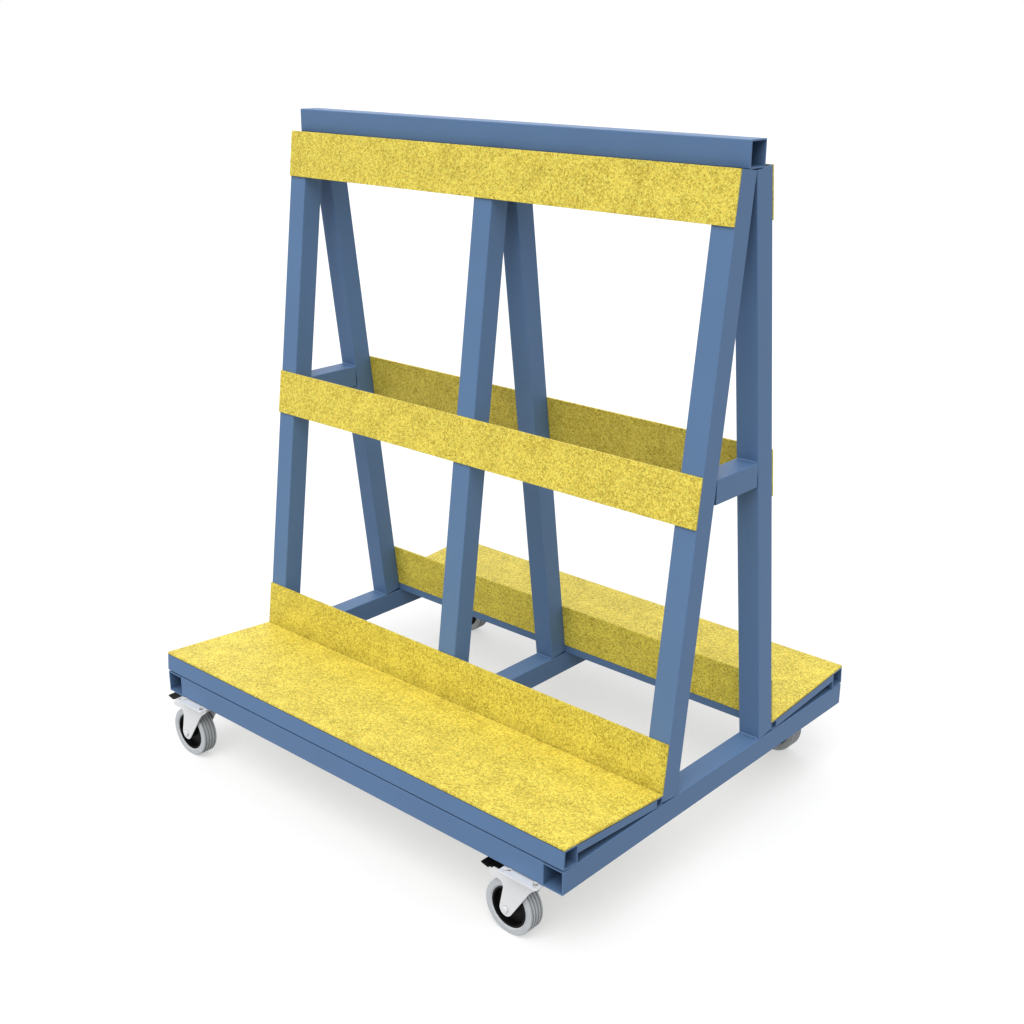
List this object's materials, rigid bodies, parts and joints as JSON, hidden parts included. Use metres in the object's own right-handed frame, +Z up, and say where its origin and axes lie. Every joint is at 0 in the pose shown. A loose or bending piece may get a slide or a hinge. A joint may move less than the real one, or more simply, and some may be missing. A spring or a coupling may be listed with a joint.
{
  "type": "sheet goods cart",
  "caption": "Two-sided A-frame cart for sheet goods: tube frame with a ridge, sloped side trays, lining strips, and braked swivel casters.",
  "frame": {"origin": "on the floor under the middle of the cart's overall box, pedals included", "axes": "+X along the ridge, -Y the front side, +Z up; all four casters trail towards -X"},
  "size_m": [1.2152, 1.0386, 1.4498],
  "materials": {
    "blue_paint": "satin",
    "lining_board": "matte",
    "zinc": "satin",
    "tyre_rubber": "matte",
    "black_plastic": "matte"
  },
  "bodies": {
    "cart": {"base_left": "blue_paint", "base_middle": "blue_paint", "base_right": "blue_paint", "base_front": "blue_paint", "base_back": "blue_paint", "leg_front_left": "blue_paint", "leg_front_middle": "blue_paint", "leg_front_right": "blue_paint", "leg_back_left": "blue_paint", "leg_back_middle": "blue_paint", "leg_back_right": "blue_paint", "crossbar_left": "blue_paint", "crossbar_right": "blue_paint", "ridge": "blue_paint", "tray_outer_front": "blue_paint", "tray_inner_front": "blue_paint", "tray_rails_front": "blue_paint", "tray_board_front": "lining_board", "tray_outer_back": "blue_paint", "tray_inner_back": "blue_paint", "tray_rails_back": "blue_paint", "tray_board_back": "lining_board", "strip_bottom_front": "lining_board", "strip_middle_front": "lining_board", "strip_top_front": "lining_board", "strip_bottom_back": "lining_board", "strip_middle_back": "lining_board", "strip_top_back": "lining_board", "king_pins": "zinc", "race_balls": "zinc", "plate_front_left": "zinc", "plate_front_right": "zinc", "plate_back_left": "zinc", "plate_back_right": "zinc"},
    "fork_body_front_left": {"fork_front_left": "zinc", "axle_front_left": "zinc", "sleeve_front_left": "zinc"},
    "wheel_body_front_left": {"wheel_centre_front_left": "black_plastic", "tyre_front_left": "tyre_rubber"},
    "pedal_body_front_left": {"pedal_front_left": "black_plastic"},
    "fork_body_front_right": {"fork_front_right": "zinc", "axle_front_right": "zinc", "sleeve_front_right": "zinc"},
    "wheel_body_front_right": {"wheel_centre_front_right": "black_plastic", "tyre_front_right": "tyre_rubber"},
    "pedal_body_front_right": {"pedal_front_right": "black_plastic"},
    "fork_body_back_left": {"fork_back_left": "zinc", "axle_back_left": "zinc", "sleeve_back_left": "zinc"},
    "wheel_body_back_left": {"wheel_centre_back_left": "black_plastic", "tyre_back_left": "tyre_rubber"},
    "pedal_body_back_left": {"pedal_back_left": "black_plastic"},
    "fork_body_back_right": {"fork_back_right": "zinc", "axle_back_right": "zinc", "sleeve_back_right": "zinc"},
    "wheel_body_back_right": {"wheel_centre_back_right": "black_plastic", "tyre_back_right": "tyre_rubber"},
    "pedal_body_back_right": {"pedal_back_right": "black_plastic"}
  },
  "joints": [
    {"name": "swivel_front_left", "type": "hinge", "parent": "cart", "child": "fork_body_front_left", "pos_m": [-0.4974, -0.47183, 0.146], "axis": [0, 0, 1], "continuous": true},
    {"name": "wheel_spin_front_left", "type": "hinge", "parent": "fork_body_front_left", "child": "wheel_body_front_left", "pos_m": [-0.5444, -0.47183, 0.058], "axis": [0, 1, 0], "continuous": true},
    {"name": "brake_front_left", "type": "hinge", "parent": "fork_body_front_left", "child": "pedal_body_front_left", "pos_m": [-0.5584, -0.47183, 0.13], "axis": [0, -1, 0], "range_deg": [0, 14]},
    {"name": "swivel_front_right", "type": "hinge", "parent": "cart", "child": "fork_body_front_right", "pos_m": [0.5126, -0.47183, 0.146], "axis": [0, 0, 1], "continuous": true},
    {"name": "wheel_spin_front_right", "type": "hinge", "parent": "fork_body_front_right", "child": "wheel_body_front_right", "pos_m": [0.4656, -0.47183, 0.058], "axis": [0, 1, 0], "continuous": true},
    {"name": "brake_front_right", "type": "hinge", "parent": "fork_body_front_right", "child": "pedal_body_front_right", "pos_m": [0.4516, -0.47183, 0.13], "axis": [0, -1, 0], "range_deg": [0, 14]},
    {"name": "swivel_back_left", "type": "hinge", "parent": "cart", "child": "fork_body_back_left", "pos_m": [-0.4974, 0.47183, 0.146], "axis": [0, 0, 1], "continuous": true},
    {"name": "wheel_spin_back_left", "type": "hinge", "parent": "fork_body_back_left", "child": "wheel_body_back_left", "pos_m": [-0.5444, 0.47183, 0.058], "axis": [0, 1, 0], "continuous": true},
    {"name": "brake_back_left", "type": "hinge", "parent": "fork_body_back_left", "child": "pedal_body_back_left", "pos_m": [-0.5584, 0.47183, 0.13], "axis": [0, -1, 0], "range_deg": [0, 14]},
    {"name": "swivel_back_right", "type": "hinge", "parent": "cart", "child": "fork_body_back_right", "pos_m": [0.5126, 0.47183, 0.146], "axis": [0, 0, 1], "continuous": true},
    {"name": "wheel_spin_back_right", "type": "hinge", "parent": "fork_body_back_right", "child": "wheel_body_back_right", "pos_m": [0.4656, 0.47183, 0.058], "axis": [0, 1, 0], "continuous": true},
    {"name": "brake_back_right", "type": "hinge", "parent": "fork_body_back_right", "child": "pedal_body_back_right", "pos_m": [0.4516, 0.47183, 0.13], "axis": [0, -1, 0], "range_deg": [0, 14]}
  ]
}
